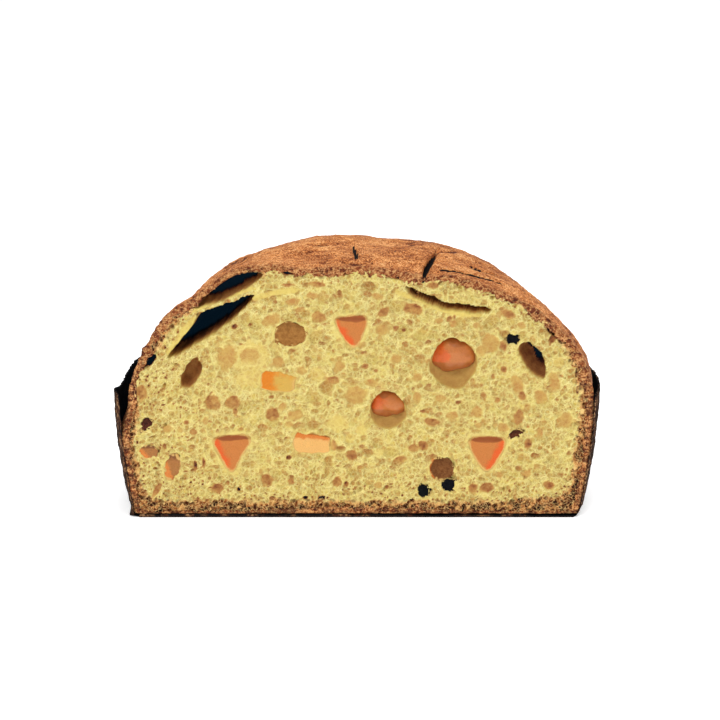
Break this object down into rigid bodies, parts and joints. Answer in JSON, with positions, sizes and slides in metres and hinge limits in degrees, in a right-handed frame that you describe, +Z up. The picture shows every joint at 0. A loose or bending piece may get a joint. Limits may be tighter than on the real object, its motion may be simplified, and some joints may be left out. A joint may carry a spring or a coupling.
{
  "type": "panettone cut in half",
  "caption": "Low domed sweet bread with candied orange and raisins, cut upright through the loaf and standing in its fluted dark paper case.",
  "frame": {"origin": "on the table, below the middle of the part's own box", "axes": "+Z up; the flat cut face looks towards -Y; +X to the right of someone facing the cut"},
  "size_m": [0.2221, 0.1414, 0.1202],
  "materials": {
    "bread": "baked sweet bread: reddish brown crust, open yellow crumb",
    "paper": "fluted baking paper, nearly black outside",
    "candied_orange": "translucent candied orange",
    "candied_peel": "candied citrus peel, orange skin and pale pith",
    "raisin": "soft dark raisin"
  },
  "bodies": {
    "root": {"bread": "bread", "paper_case": "paper", "candied_wedge_top": "candied_orange", "candied_wedge_left": "candied_orange", "candied_wedge_right": "candied_orange", "candied_lump_large": "candied_orange", "candied_lump_small": "candied_orange", "candied_bit_corner": "candied_orange", "candied_bit_case": "candied_orange", "candied_peel_upper": "candied_peel", "candied_peel_lower": "candied_peel", "raisin_upper": "raisin", "raisin_lower": "raisin", "raisin_dark_left": "raisin", "raisin_dark_right": "raisin", "raisin_by_long_hole": "raisin", "raisin_by_right_wedge": "raisin", "raisin_by_case": "raisin"}
  },
  "joints": []
}
